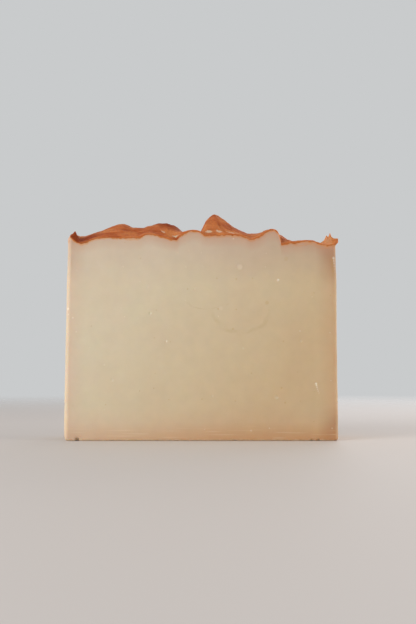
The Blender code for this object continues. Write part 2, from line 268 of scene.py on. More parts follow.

# Open bubbles and nicks in the cuts, pale inside, partly fresh soap and partly a painted glint, and
# blisters and oily spots: X, height, radius and depth in mm, and how pale. A blister's depth is below zero,
# and so is the paleness of an oily spot.
Pit = namedtuple("Pit", "x z radius deep pale")
FRONT_PITS = (
    Pit(37.25, 18.4, 0.4, 0.2, 1.0), Pit(37.4, 17.8, 0.3, 0.16, 0.9), Pit(37.55, 17.2, 0.24, 0.12, 0.8),
    Pit(37.75, 16.6, 0.2, 0.1, 0.7), Pit(37.95, 16.0, 0.18, 0.08, 0.6), Pit(38.2, 15.4, 0.15, 0.06, 0.5),
    Pit(25.1, 52.2, 0.42, 0.2, 0.8), Pit(-11.4, 32.2, 0.42, 0.18, 0.5), Pit(12.7, 56.4, 0.95, -0.12, 0.22),
    Pit(-28.9, 19.6, 0.6, 0.11, 0.1), Pit(-16.6, 41.3, 0.5, 0.14, 0.2), Pit(-2.3, 49.2, 0.5, 0.11, 0.12),
    Pit(32.5, 32.2, 0.55, 0.12, 0.12), Pit(13.6, 29.9, 0.45, 0.1, 0.14), Pit(6.5, 42.9, 0.7, -0.1, 0.15),
    Pit(3.6, 14.4, 0.5, 0.1, 0.1), Pit(24.4, 14.1, 0.7, 0.13, 0.12), Pit(27.8, 59.1, 0.8, 0.02, -0.4),
    Pit(21.5, 44.7, 0.7, 0.02, -0.6), Pit(-7.6, 61.0, 0.4, 0.08, 0.12), Pit(-17.5, 49.8, 0.5, 0.08, 0.1),
    Pit(10.4, 36.2, 0.4, 0.03, -0.6), Pit(-26.0, 43.0, 0.35, 0.06, 0.1), Pit(22.1, 42.3, 0.3, 0.02, -0.3),
    # Nicks by the left edge
    Pit(-43.4, 42.7, 0.42, -0.07, 0.8), Pit(-41.8, 39.8, 0.28, 0.08, 0.6), Pit(-43.2, 40.9, 0.24, -0.05, 0.5),
    # A scuff down the right edge, with soap pushed up beside it
    Pit(43.45, 59.4, 0.5, 0.16, 0.6), Pit(43.52, 58.5, 0.42, 0.14, 0.5), Pit(43.6, 57.6, 0.4, 0.12, 0.5),
    Pit(43.75, 56.7, 0.38, 0.12, 0.45), Pit(43.9, 55.8, 0.36, 0.1, 0.4), Pit(44.05, 54.9, 0.34, 0.1, 0.4),
    Pit(44.2, 54.1, 0.3, 0.08, 0.3), Pit(42.65, 58.6, 0.6, -0.03, -0.6), Pit(42.8, 57.4, 0.6, -0.03, -0.7),
    Pit(42.95, 56.2, 0.6, -0.03, -0.7), Pit(43.05, 55.0, 0.6, -0.03, -0.6), Pit(43.1, 53.8, 0.6, -0.03, -0.4),
)
REAR_PITS = (
    Pit(-31.5, 47.0, 0.5, 0.18, 0.6), Pit(-30.9, 46.1, 0.35, 0.14, 0.5), Pit(-12.2, 22.4, 0.6, 0.14, 0.3),
    Pit(5.4, 55.1, 0.45, 0.12, 0.2), Pit(18.6, 38.3, 0.5, 0.15, 0.5), Pit(29.7, 15.8, 0.4, 0.16, 0.7),
    Pit(30.1, 15.0, 0.3, 0.1, 0.5), Pit(-22.0, 8.9, 0.5, 0.12, 0.3), Pit(36.2, 52.7, 0.9, -0.1, 0.2),
    Pit(-4.1, 40.3, 0.6, -0.08, 0.15), Pit(-37.0, 30.5, 0.7, 0.02, -0.5), Pit(11.3, 9.4, 0.4, 0.1, 0.3),
    Pit(-19.5, 56.6, 0.4, 0.1, 0.2), Pit(24.8, 27.0, 0.6, 0.02, -0.4), Pit(0.8, 29.3, 0.4, 0.1, 0.2),
)
# The faces around them are cut finer: how often, how near a pit in mm a face has to be at first and then, and
# how long an edge
PIT_CUTS = 3
PIT_ROOM, PIT_NEAR = 0.8, 0.5
TALL_EDGE, LEVEL_EDGE = 0.4 * MM, 0.15 * MM
# How near its plane a point belongs to a cut's pits
PIT_BAND = 0.4 * MM
# Faces that meet at more than this angle keep their edge sharp
SHARP_DEGREES = 60


def linear(code):
    """The linear colour of an sRGB hex code."""
    values = [int(code[i : i + 2], 16) / 255 for i in (1, 3, 5)]
    return tuple(v / 12.92 if v <= 0.04045 else ((v + 0.055) / 1.055) ** 2.4 for v in values)


def smooth_line(knots):
    """A function that runs smoothly through the knots and never swings past them."""
    places = [knot[0] for knot in knots]
    values = [knot[1] for knot in knots]
    gaps = [b - a for a, b in zip(places, places[1:])]
    chords = [(b - a) / gap for a, b, gap in zip(values, values[1:], gaps)]
    slopes = [chords[0]]
    for i in range(1, len(chords)):
        left, right = chords[i - 1], chords[i]
        if left * right <= 0:
            slopes.append(0.0)
            continue
        near, far = 2 * gaps[i] + gaps[i - 1], gaps[i] + 2 * gaps[i - 1]
        slopes.append((near + far) / (near / left + far / right))
    slopes.append(chords[-1])

    def value_at(place):
        place = min(max(place, places[0]), places[-1])
        i = 0
        while i < len(gaps) - 1 and place > places[i + 1]:
            i += 1
        t = (place - places[i]) / gaps[i]
        start = (1 + 2 * t) * (1 - t) ** 2 * values[i] + t * (1 - t) ** 2 * gaps[i] * slopes[i]
        end = t * t * (3 - 2 * t) * values[i + 1] + t * t * (t - 1) * gaps[i] * slopes[i + 1]
        return start + end

    return value_at


left_inset = smooth_line([(share, left) for share, left, _ in SIDES])
right_inset = smooth_line([(share, right) for share, _, right in SIDES])
left_lip = smooth_line(LEFT_LIP)
right_lip = smooth_line(RIGHT_LIP)
sections = [(share * THICKNESS, smooth_line(knots)) for share, knots in SECTIONS]


def ease(value, low, high):
    """A smooth step of a value: 0 at low, 1 at high."""
    t = min(1.0, max(0.0, (value - low) / (high - low)))
    return t * t * (3 - 2 * t)


def side_at(side, z):
    """X of the left (-1) or right (1) side of the loaf at a height."""
    inset = (left_inset if side < 0 else right_inset)(z / BODY_HEIGHT)
    return side * (WIDTH / 2 - inset * MM)


def lip_rise(inset, depth, crest):
    """Height of the lip at one place: crest is its rise along the loaf, a function of the depth's share."""
    reach = LIP_OUTER if inset < LIP_INSET else LIP_INNER
    return crest(depth / THICKNESS) * MM * math.exp(-(((inset - LIP_INSET) / reach) ** 2))


def tufts_at(left, right, depth):
    """(rise, outward move) that the torn points give a place, from its distances to both sides."""
    rise, move = 0.0, 0.0
    for tuft in TUFTS:
        aside = (left if tuft.side < 0 else right) / MM - tuft.inset
        behind = (depth - tuft.depth / 100 * THICKNESS) / MM
        away = math.hypot(aside / tuft.across, behind / tuft.along)
        if away < 1:
            share = (1 - away**tuft.blunt) ** TUFT_HOLLOW
            rise += tuft.rise * MM * share
            move += tuft.side * tuft.lean * MM * share
    return rise, move


def swell(across, depth):
    """Rise of the spooned top, in mm: the loft along Y through the five sections."""
    percent = 100 * across / WIDTH
    return smooth_line([(place, line(percent)) for place, line in sections])(depth)


def top_height(left, right, depth):
    """Height of the skin, where the swells, the ripples, the lips and the torn points add up."""
    swing = min(1.0, left / SWAY_FADE, right / SWAY_FADE) * math.sin(math.pi * depth / sections[1][0])
    across = left + SWAY * swing
    fade = min(1.0, depth / RIPPLE_FADE, (THICKNESS - depth) / RIPPLE_FADE)
    ripple = RIPPLE * fade * noise.noise(Vector((across / RIPPLE_WIDTH, depth / RIPPLE_LENGTH, 0.0)))
    rise = swell(across, depth) * MM + ripple
    rise += lip_rise(left, depth, left_lip) + lip_rise(right, depth, right_lip)
    return BODY_HEIGHT + rise + tufts_at(left, right, depth)[0]


def beside(line, x, depth):
    """Distance in mm from a line of (X, depth) points, where the place is within a fold's reach along X."""
    if not line[0][0] - FOLD_REACH < x < line[-1][0] + FOLD_REACH:
        return FOLD_REACH
    here = Vector((x, depth))
    best = 1e9
    for a, b in zip(line, line[1:]):
        start, run = Vector(a), Vector(b) - Vector(a)
        share = min(1.0, max(0.0, (here - start).dot(run) / run.length_squared))
        best = min(best, (here - start - run * share).length)
    return best


def patch_at(x, depth):
    """(bare, thin, darkness: pooled oxide and painted shade) of the skin at a place in mm, with ragged edges.
    """
    bare = (1 - ease(x + WIDTH / MM / 2, *BARE_ASIDE)) * (1 - ease(depth, *BARE_BEHIND))
    thin, pooled = bare, 0.0
    rag = RAG * noise.noise(Vector((x / RAG_WIDTH[0], depth / RAG_WIDTH[1], 4.0)))
    for patch in PATCHES:
        turn = math.radians(patch.turn)
        aside, behind = x - patch.x, depth - patch.depth
        a = (aside * math.cos(turn) + behind * math.sin(turn)) / patch.across
        b = (behind * math.cos(turn) - aside * math.sin(turn)) / patch.along
        inside = 1.0 - math.hypot(a, b) + rag
        bare = max(bare, patch.bare * ease(inside, 0.0, 0.35))
        thin = max(thin, patch.thin * ease(inside, -0.5, 0.4))
        pooled += patch.pooled * ease(inside, -0.1, 0.9)
    return bare, thin, pooled


def skin_relief(left, depth, stroke):
    """Rise of the fine strokes, flutes, crumples, folds and bare places at a spot, in mm."""
    x = left - WIDTH / MM / 2
    drift = DRIFT * noise.noise(Vector((left / DRIFT_WIDTH, depth / DRIFT_WIDTH, 3.1)))
    along = noise.noise(Vector((left / STROKE_LENGTH, (depth + drift) / STROKE_PITCH, 0.4)))
    down = noise.noise(Vector(((left + drift * 0.4) / FLUTE_PITCH, depth / FLUTE_LENGTH, 8.2)))
    middle, behind, wide, deep = PEAK
    peak = math.exp(-(((left - middle) / wide) ** 2) - ((depth - behind) / deep) ** 2)
    mixed = ease(noise.noise(Vector((left / FLUTED_WIDTH, depth / FLUTED_WIDTH, 5.7))), -0.35, 0.35)
    share = max(peak, mixed)
    crumple = noise.noise(Vector((left / CRUMPLE_PITCH, depth / CRUMPLE_PITCH, 1.9)))
    fine = noise.noise(Vector((left * FINENESS / CRUMPLE_PITCH, depth * FINENESS / CRUMPLE_PITCH, 6.3)))
    rise = stroke * (along * (1 - share) + 0.7 * down * share + 0.3 * crumple + 0.15 * fine)
    for fold in FOLDS:
        away = beside(fold.line, x, depth + 0.3 * crumple)
        rise -= fold.deep * math.exp(-((away / fold.half_width) ** 2))
        rise += 0.35 * fold.deep * math.exp(-(((away - 2 * fold.half_width) / fold.half_width) ** 2))
    rise -= BARE_RECESS * patch_at(x, depth)[0]
    to_cut = min(depth, THICKNESS / MM - depth)
    to_side = min(left, WIDTH / MM - left)
    return rise * ease(min(to_cut, to_side), -0.35, RELIEF_FADE)


def arris_drop(inset):
    """How far the edge of a cut drops in its small round, in mm, at a distance from the cut."""
    if inset >= CUT_ARRIS:
        return 0.0
    return CUT_ARRIS - math.sqrt(CUT_ARRIS**2 - (CUT_ARRIS - inset) ** 2)


def stations(marks):
    """Places from the first mark to the last: (mark, widest step after it), in equal steps between marks."""
    places = []
    for (start, step), (end, _) in zip(marks, marks[1:]):
        count = math.ceil((end - start) / step - 1e-9)
        places += [start + (end - start) * i / count for i in range(count)]
    return places + [marks[-1][0]]


def rounded(across, along, half_width, half_length):
    """Moves a place near a vertical edge of the bar in to the edge's round, and leaves the rest."""
    a = 1 - (half_width - abs(across)) / EDGE_ROUND
    b = 1 - (half_length - abs(along)) / EDGE_ROUND
    if a <= 0 or b <= 0:
        return across, along
    across_in = half_width - EDGE_ROUND + EDGE_ROUND * a * math.sqrt(1 - b * b / 2)
    along_in = half_length - EDGE_ROUND + EDGE_ROUND * b * math.sqrt(1 - a * a / 2)
    return math.copysign(across_in, across), math.copysign(along_in, along)


def place_on_bar(across_share, depth_share, z, eased=0.0):
    """The point of the bar at shares of its width and thickness, at a height."""
    low, high = side_at(-1, z), side_at(1, z)
    middle, half_width = (low + high) / 2, (high - low) / 2 - eased
    half_length = THICKNESS / 2 - eased
    across = (2 * across_share - 1) * half_width
    along = (2 * depth_share - 1) * half_length
    across, along = rounded(across, along, half_width, half_length)
    return Vector((middle + across, along, z))


def wall_relief(point, below):
    """Moves a wall point in by the mould's dents, the wire's waver and the chips of the bottom edge."""
    x, y, z = point.x / MM, point.y / MM, point.z / MM
    half_width, half_length = WIDTH / MM / 2, THICKNESS / MM / 2
    fade = ease(below, 0.0, DENT_FADE)
    if abs(x) > half_width - SIDE_BAND:
        dent = sum(deep * (1 + noise.noise(Vector((x, y / along, z / up)))) for deep, along, up in DENTS)
        point.x -= math.copysign(dent * fade * MM, x)
    if abs(y) > half_length - CUT_BAND:
        waver = WAVER * (1 + noise.noise(Vector((x / WAVER_LENGTH, y, z / WAVER_HEIGHT))))
        point.y -= math.copysign(waver * fade * MM, y)
    for chip in CHIPS:
        away = math.hypot((x - chip.x) / chip.half_width, z / chip.height)
        if away < 1.4 and chip.cut * y > half_length - CUT_BAND:
            rag = RAG * noise.noise(Vector((x / 0.4, z / 0.3, 2.6)))
            point.y -= chip.cut * chip.deep * ease(1.25 + rag - away, 0.0, 0.9) * MM
    return point


# A place on the rim or the skin: shares of the width and the thickness, height and lean in metres, and marks
Spot = namedtuple("Spot", "across depth height lean marks")
MARKS = ("bare", "thin", "hollow")
DEPTH_MARK = "skin_depth"
OPEN_MARK = "open"
# How far down a wall its marks fade out
MARK_REACH = 1.3 * MM


def skin_grid(net, stroke):
    """Makes the grid of the skin, raises it and marks it. Gives the spot of each point."""
    columns, rows = stations(COLUMN_MARKS), stations(ROW_MARKS)
    bmesh.ops.create_grid(net, x_segments=len(columns) - 1, y_segments=len(rows) - 1, size=0.5)
    layers = [net.verts.layers.float.new(name) for name in MARKS]
    places, heights = {}, {}
    for vert in net.verts:
        i = round((vert.co.x + 0.5) * (len(columns) - 1))
        j = round((vert.co.y + 0.5) * (len(rows) - 1))
        places[vert] = i, j
        heights[i, j] = top_height(columns[i] * MM, WIDTH - columns[i] * MM, rows[j] * MM)
    spots = {}
    for vert, (i, j) in places.items():
        left, depth = columns[i], rows[j]
        rise, lean = tufts_at(left * MM, WIDTH - left * MM, depth * MM)
        to_cut = min(depth, THICKNESS / MM - depth)
        height = heights[i, j] + (skin_relief(left, depth, stroke / MM) - arris_drop(to_cut)) * MM
        # How far a place lies below its neighbours darkens it: partly pooled oxide, partly painted shade
        around = [heights.get((i + a, j + b)) for a, b in ((-7, 0), (7, 0), (0, -5), (0, 5))]
        around = [h for h in around if h is not None]
        hollow = max(0.0, 0.4 * (sum(around) / len(around) - heights[i, j]) / MM)
        bare, thin, pooled = patch_at(left - WIDTH / MM / 2, depth)
        # Raised torn points get less of that pooled oxide and painted shade
        hollow = (hollow + pooled) * (1 - min(0.7, 0.3 * rise / MM))
        if left > WIDTH / MM / 2 and depth < CROWN_DEPTH:
            most = CROWN_MOST - CROWN_TIP_DROP * ease(rise / MM, *CROWN_TIPS)
            thin = max(thin - 0.1 * rise / MM, min(most, CROWN_BASE + rise / MM))
            thin -= CROWN_BASE * ease(left, *CROWN_SIDE)
            hollow *= 1 - min(1.0, max(0.0, thin))
        height = min(height, SOLID_BOX[1][2])
        spots[vert] = Spot(left * MM / WIDTH, depth * MM / THICKNESS, height, lean, (bare, thin, hollow))
    for vert, spot in spots.items():
        vert.co = place_on_bar(spot.across, spot.depth, spot.height)
        vert.co.x = min(vert.co.x + spot.lean, SOLID_BOX[1][0])
        for layer, mark in zip(layers, spot.marks):
            vert[layer] = mark
    return spots


def lower_rim(net, rim, spots, height_of, eased=0.0):
    """Extrudes a row of wall points from the rim down to the heights of height_of, and gives its edges."""
    depth_layer = net.verts.layers.float[DEPTH_MARK]
    layers = [net.verts.layers.float[name] for name in MARKS]
    made = bmesh.ops.extrude_edge_only(net, edges=rim)["geom"]
    row = dict.fromkeys(item for item in made if isinstance(item, bmesh.types.BMEdge))
    for vert in dict.fromkeys(vert for edge in row for vert in edge.verts):
        above = next(edge.other_vert(vert) for edge in vert.link_edges if edge not in row)
        spot = spots[vert] = spots[above]
        z = height_of(spot.height)
        below = spot.height - z
        vert.co = wall_relief(place_on_bar(spot.across, spot.depth, z, eased), below / MM)
        vert.co.x = min(vert.co.x + spot.lean * max(0.0, 1 - below / LEAN_REACH), SOLID_BOX[1][0])
        vert[depth_layer] = below / MM
        for layer, mark in zip(layers, spot.marks):
            vert[layer] = mark * max(0.0, 1 - below / MARK_REACH)
    return list(row)


def bar_net(stroke):
    """The net of the bar: a grid for the skin, walls extruded down from its rim, and a base."""
    net = bmesh.new()
    net.verts.layers.float.new(DEPTH_MARK)
    net.verts.layers.float.new(OPEN_MARK)
    spots = skin_grid(net, stroke)
    rim = [edge for edge in net.edges if edge.is_boundary]
    for drop in RIM_ROWS:
        rim = lower_rim(net, rim, spots, lambda height, drop=drop: height - drop * MM)
    low = FOOT_ROWS[0] * MM
    last_drop = RIM_ROWS[-1] * MM
    count = round((BODY_HEIGHT - low - last_drop) / MM / WALL_STEP)
    for row in range(count - 1, 0, -1):
        share = row / count
        rim = lower_rim(net, rim, spots, lambda h, share=share: low + (h - last_drop - low) * share)
    for row in FOOT_ROWS:
        rim = lower_rim(net, rim, spots, lambda h, row=row: row * MM, 0.0 if row else BASE_EASE)
    base = bmesh.ops.contextual_create(net, geom=rim)["faces"]
    bmesh.ops.poke(net, faces=base)
    return net


def near_pits(spots, room, cut, pits):
    """Whether the middle of these spots on a cut is within this room in mm of the edge of one of its pits."""
    if any(cut * spot.y < THICKNESS / 2 - PIT_BAND for spot in spots):
        return False
    x = sum(spot.x for spot in spots) / len(spots) / MM
    z = sum(spot.z for spot in spots) / len(spots) / MM
    return any(math.hypot(x - pit.x, z - pit.z) < pit.radius + room for pit in pits)


def press_pits(net, cut, pits):
    """Presses the open bubbles and raises the blisters of a cut, on faces made finer around them."""
    open_layer = net.verts.layers.float[OPEN_MARK]
    faces = [face for face in net.faces if near_pits([vert.co for vert in face.verts], PIT_ROOM, cut, pits)]
    edges = dict.fromkeys(edge for face in faces for edge in face.edges)
    upright = [edge for edge in edges if abs(edge.verts[0].co.z - edge.verts[1].co.z) > TALL_EDGE]
    bmesh.ops.subdivide_edges(net, edges=upright, cuts=PIT_CUTS * 2, use_grid_fill=True)
    faces = [face for face in net.faces if near_pits([vert.co for vert in face.verts], PIT_NEAR, cut, pits)]
    edges = dict.fromkeys(edge for face in faces for edge in face.edges)
    level = [edge for edge in edges if abs(edge.verts[0].co.x - edge.verts[1].co.x) > LEVEL_EDGE]
    bmesh.ops.subdivide_edges(net, edges=level, cuts=PIT_CUTS - 1, use_grid_fill=True)
    for vert in net.verts:
        if not near_pits([vert.co], PIT_NEAR, cut, pits):
            continue
        for pit in pits:
            away = math.hypot(vert.co.x / MM - pit.x, vert.co.z / MM - pit.z) / pit.radius
            # Paleness of the pits: partly fresh soap, partly a painted glint
            vert[open_layer] += pit.pale * (1 - ease(away, 0.5, 1.25))
            if away < 1:
                vert.co.y -= cut * pit.deep * MM * (1 - away * away) ** 0.8
        vert.co.y = min(max(vert.co.y, SOLID_BOX[0][1]), SOLID_BOX[1][1])
    # Faces that hold the points of finer neighbours on their edges are cut into well-shaped triangles
    loaded = [face for face in net.faces if len(face.verts) > 4]
    bmesh.ops.triangulate(net, faces=loaded, ngon_method="BEAUTY")


def link_mesh(context, net, name, material):
    """Makes an object of a net, with its material, and puts it in the scene."""
    mesh = bpy.data.meshes.new(name)
    net.to_mesh(mesh)
    net.free()
    mesh.materials.append(material)
    thing = bpy.data.objects.new(name, mesh)
    context.scene.collection.objects.link(thing)
    return thing


def add(tree, kind, inputs=(), out=None, stops=(), **settings):
    """Adds a node, sets it up, and joins or fills its inputs. Gives the output named, or its first live one.

    The inputs go by socket, or in order from the first one on. A colour is three linear values. A ramp also
    takes its stops.
    """
    node = tree.nodes.new("ShaderNode" + kind)
    for name, value in settings.items():
        setattr(node, name, value)
    for socket, source in inputs.items() if isinstance(inputs, dict) else enumerate(inputs):
        target = node.inputs[socket]
        if isinstance(source, bpy.types.NodeSocket):
            tree.links.new(source, target)
        else:
            target.default_value = (*source, 1.0) if target.type == "RGBA" else source
    for i, (place, colour) in enumerate(stops):
        ramp = node.color_ramp.elements
        stop = ramp[i] if i < len(ramp) else ramp.new(place)
        stop.position, stop.color = place, (*colour, 1.0)
    return node.outputs[out] if out else next((live for live in node.outputs if live.enabled), None)


# Patterns in the soap: name, width in mm and detail. Clouds and mottles drift through the poured cream, and
# the skin's edge and the bottom edge are ragged. Grains of oxide are far too fine to show, so they are drawn
# coarser, 0.5 mm wide.
PATTERNS = (
    ("clouds", 18.0, 3.0), ("mottle", 3.5, 4.0), ("rag", 1.4, 3.0), ("crumb", 1.1, 3.0), ("grain", 0.5, 3.0),
)
CREASE_WIDTH = 0.9
# Streaks: name, length in mm along X, Y and Z, detail and distortion. Crumbs of the bottom edge left smears,
# and rust tones drift along the strokes of the spoon. The wire's chatter runs level and its drag runs down.
# Real drag marks are finer than a pixel, so they are drawn coarser, 0.7 mm wide.
STREAKS = (
    ("smear", (14.0, 14.0, 0.6), 1.0, 0.0), ("streak", (7.0, 2.4, 2.0), 5.0, 0.8),
    ("chatter", (40.0, 12.0, 1.6), 2.0, 0.0), ("drag", (0.7, 0.7, 45.0), 2.0, 0.0),
)
# The swirl that the batter kept, in mm: the lower half of a loop 19.6 wide and 16 tall, and that of a smaller
# one beside it, as (X and Z of the middle, half width and half height)
SWIRLS = (((14.5, 44.8), (9.8, 8.0)), ((3.6, 46.6), (6.5, 2.2)))
SWIRL_LINE = 0.13
SWIRL_WANDER = 3.0
SWIRL_WANDER_WIDTH = 5.0
SWIRL_STRENGTH = 0.23
SPECK_SPACING = 5.2


def soap_patterns(tree):
    """The places in mm, the marks of the mesh and the patterns that the soap's finish is worked out from."""
    at = SimpleNamespace()
    place = add(tree, "TexCoord", out="Object")
    at.mm = add(tree, "VectorMath", {0: place, "Scale": 1 / MM}, operation="SCALE")
    at.x, at.y, at.z = add(tree, "SeparateXYZ", (at.mm,)).node.outputs
    at.aside = add(tree, "Math", (at.x,), operation="ABSOLUTE")
    for name in (DEPTH_MARK, *MARKS, OPEN_MARK):
        setattr(at, name, add(tree, "Attribute", out="Fac", attribute_name=name))
    for name, width, detail in PATTERNS:
        setattr(at, name, add(tree, "TexNoise", {"Vector": at.mm, "Scale": 1 / width, "Detail": detail}))
    for name, lengths, detail, distortion in STREAKS:
        drawn_out = add(tree, "Mapping", {"Vector": at.mm, "Scale": [1 / length for length in lengths]})
        look = {"Vector": drawn_out, "Scale": 1.0, "Detail": detail, "Distortion": distortion}
        setattr(at, name, add(tree, "TexNoise", look))
    return at


def tinted(tree, colour, layers):
    """A colour under layers of (share, colour), one after the other."""
    for share, tint in layers:
        colour = add(tree, "Mix", {0: share, 6: colour, 7: tint}, data_type="RGBA")
    return colour


def dried_cream(tree, colours, at):
    """The cream soap, which dried from its rim inwards, without its specks. Painted shade and a painted warm
    reflection darken it to the right and along the foot, and painted highlights pale its left and bottom
    edges.
    """
    side = add(tree, "MapRange", (at.aside, 37.5, 45.5))
    upper = add(tree, "MapRange", (at.z, 50.0, 66.0))
    foot = add(tree, "MapRange", (at.z, 11.0, -1.0, 0.0, 0.9))
    shift = add(tree, "Math", (at.clouds, 0.5, -0.25), operation="MULTIPLY_ADD")
    rim = add(tree, "Math", (side, foot, 0.35), operation="SMOOTH_MAX")
    rim = add(tree, "Math", (rim, shift), operation="ADD", use_clamp=True)
    high = add(tree, "Math", (upper, shift), operation="ADD", use_clamp=True)
    # Warmer to the right and low down: partly the side that dried more, partly painted shade away from the
    # key light and a painted warm reflection from below
    drying_and_shade = add(tree, "VectorMath", (at.mm, (1 / 70, 0.0, -1 / 100)), operation="DOT_PRODUCT")
    drying_and_shade = add(tree, "Math", (drying_and_shade, 0.8), operation="ADD", use_clamp=True)
    core = tinted(tree, colours.core, [(drying_and_shade, colours.core_warm)])
    outer = tinted(tree, colours.rim, [(drying_and_shade, colours.rim_warm)])
    top = tinted(tree, colours.rim_top, [(drying_and_shade, colours.rim_top_warm)])
    # The corners and the foot of a cut are the darkest, most on the right: partly drying, partly painted shade
    # and a painted warm reflection from below
    warm_top = add(tree, "MapRange", (drying_and_shade, 0.0, 1.0, 0.35, 1.0))
    above = add(tree, "Math", (upper, warm_top), operation="MULTIPLY")
    below = add(tree, "Math", (foot, drying_and_shade), operation="MULTIPLY")
    corner = add(tree, "Math", (above, below), operation="MAXIMUM")
    corner = add(tree, "Math", (side, corner), operation="MULTIPLY")
    corner = add(tree, "MapRange", (corner, 0.0, 0.3, 0.0, 0.55))
    # Along the foot the darkening grows to the right, again partly painted shade and a painted warm reflection
    heel_most = add(tree, "MapRange", (at.x, -40.0, 36.0, 0.2, 0.56))
    heel = add(tree, "MapRange", (at.z, 6.0, 0.0, 0.0, heel_most))
    # The oxide tinged the soap pink for 4.2 mm under the skin, less on the left of the cut; a faint, wavy
    # orange line runs 1 to 2 mm under the skin's edge on the right
    tinge_most = add(tree, "MapRange", (at.x, -22.0, -12.0, 0.38, 0.7))
    tinged = add(tree, "MapRange", (at.skin_depth, 4.2, 0.2, 0.0, tinge_most))
    line = add(tree, "Math", (at.rag, 1.2, at.skin_depth), operation="MULTIPLY_ADD")
    line = add(tree, "Math", (line, 2.0), operation="SUBTRACT")
    line = add(tree, "Math", (line,), operation="ABSOLUTE")
    line = add(tree, "MapRange", (line, 0.0, 0.3, 0.4, 0.0))
    line_side = add(tree, "MapRange", (at.x, 27.0, 31.0))
    line = add(tree, "Math", (line, line_side), operation="MULTIPLY")
    # Soda bloom pales the faces that lay on the mould, less near the top, and a painted highlight pales the
    # left one more, on the lit side
    left = add(tree, "MapRange", (at.x, -42.2, -44.3, 0.0, 0.85), interpolation_type="SMOOTHSTEP")
    right = add(tree, "MapRange", (at.x, 43.0, 44.4, 0.0, 0.65), interpolation_type="SMOOTHSTEP")
    bloom_and_highlight = add(tree, "Math", (left, right), operation="MAXIMUM")
    patchy = add(tree, "MapRange", (at.mottle, 0.35, 0.6, 0.7, 1.0))
    bloom_and_highlight = add(tree, "Math", (bloom_and_highlight, patchy), operation="MULTIPLY")
    less = add(tree, "Math", (upper, -0.6, 1.0), operation="MULTIPLY_ADD")
    bloom_and_highlight = add(tree, "Math", (bloom_and_highlight, less), operation="MULTIPLY")
    # Pale ragged grains along the bottom edge, partly crumbs and partly a painted highlight where the edge
    # catches the light, and some smeared above it
    crumbs_and_highlight = add(tree, "Math", (at.crumb, 0.9, at.z), operation="MULTIPLY_ADD")
    crumbs_and_highlight = add(tree, "MapRange", (crumbs_and_highlight, 1.05, 0.6, 0.0, 0.55))
    bloom_and_highlight = add(tree, "Math", (bloom_and_highlight, crumbs_and_highlight), operation="MAXIMUM")
    smear = add(tree, "MapRange", (at.smear, 0.58, 0.7, 0.0, 0.4))
    by_foot = add(tree, "MapRange", (at.z, 5.5, 3.0))
    smear = add(tree, "Math", (smear, by_foot), operation="MULTIPLY")
    bloom_and_highlight = add(tree, "Math", (bloom_and_highlight, smear), operation="MAXIMUM")
    cream = tinted(tree, core, (
        (rim, outer), (high, top), (corner, colours.corner), (heel, colours.heel), (tinged, colours.tinge),
        (line, colours.bleed), (bloom_and_highlight, colours.bloom_and_highlight),
    ))
    tone = add(tree, "MapRange", (at.mottle, 0.0, 1.0, 0.94, 1.05))
    return add(tree, "VectorMath", {0: cream, "Scale": tone}, operation="SCALE")


def swirl_share(tree, at):
    """How much of the swirl's colour shows."""
    look = {"Vector": at.mm, "Scale": 1 / SWIRL_WANDER_WIDTH, "Detail": 2.0}
    wander = add(tree, "TexNoise", look, out="Color")
    bent = add(tree, "VectorMath", (wander, [SWIRL_WANDER] * 3, at.mm), operation="MULTIPLY_ADD")
    rings = []
    for (x, z), (half_width, half_height) in SWIRLS:
        off = add(tree, "VectorMath", (bent, (x, 0.0, z)), operation="SUBTRACT")
        off = add(tree, "VectorMath", (off, (1 / half_width, 0.0, 1 / half_height)), operation="MULTIPLY")
        far = add(tree, "VectorMath", (off,), operation="LENGTH")
        near = add(tree, "Math", (far, 1.0), operation="SUBTRACT")
        near = add(tree, "Math", (near,), operation="ABSOLUTE")
        ring = add(tree, "MapRange", (near, 0.0, SWIRL_LINE, 1.0, 0.0), interpolation_type="SMOOTHSTEP")
        low = add(tree, "SeparateXYZ", (off,), out="Z")
        low = add(tree, "MapRange", (low, 0.0, -0.5))
        rings.append(add(tree, "Math", (ring, low), operation="MULTIPLY"))
    swirl = add(tree, "Math", rings, operation="MAXIMUM")
    broken = add(tree, "MapRange", (at.mottle, 0.4, 0.6))
    swirl = add(tree, "Math", (swirl, broken), operation="MULTIPLY")
    return add(tree, "Math", (swirl, SWIRL_STRENGTH), operation="MULTIPLY")


def specks(tree, colours, at):
    """(share, colour) of specks 0.3 to 0.7 mm across, oily tan or pale, on both cuts and on the sides."""
    slide = add(tree, "Math", (at.y, 0.9, at.x), operation="MULTIPLY_ADD")
    flat = add(tree, "CombineXYZ", (slide, at.z))
    look = {"Vector": flat, "Scale": 1 / SPECK_SPACING}
    cells = add(tree, "TexVoronoi", look, voronoi_dimensions="2D").node.outputs
    chance, sort, size = add(tree, "SeparateColor", (cells["Color"],)).node.outputs
    reach = add(tree, "MapRange", (size, 0.0, 1.0, 0.025, 0.07))
    speck = add(tree, "MapRange", (cells["Distance"], reach, 0.02))
    kept = add(tree, "Math", (chance, 0.72), operation="GREATER_THAN")
    speck = add(tree, "Math", (speck, kept), operation="MULTIPLY")
    pale = add(tree, "Math", (sort, 0.6), operation="GREATER_THAN")
    return speck, tinted(tree, colours.speck_tan, [(pale, colours.speck_pale)])


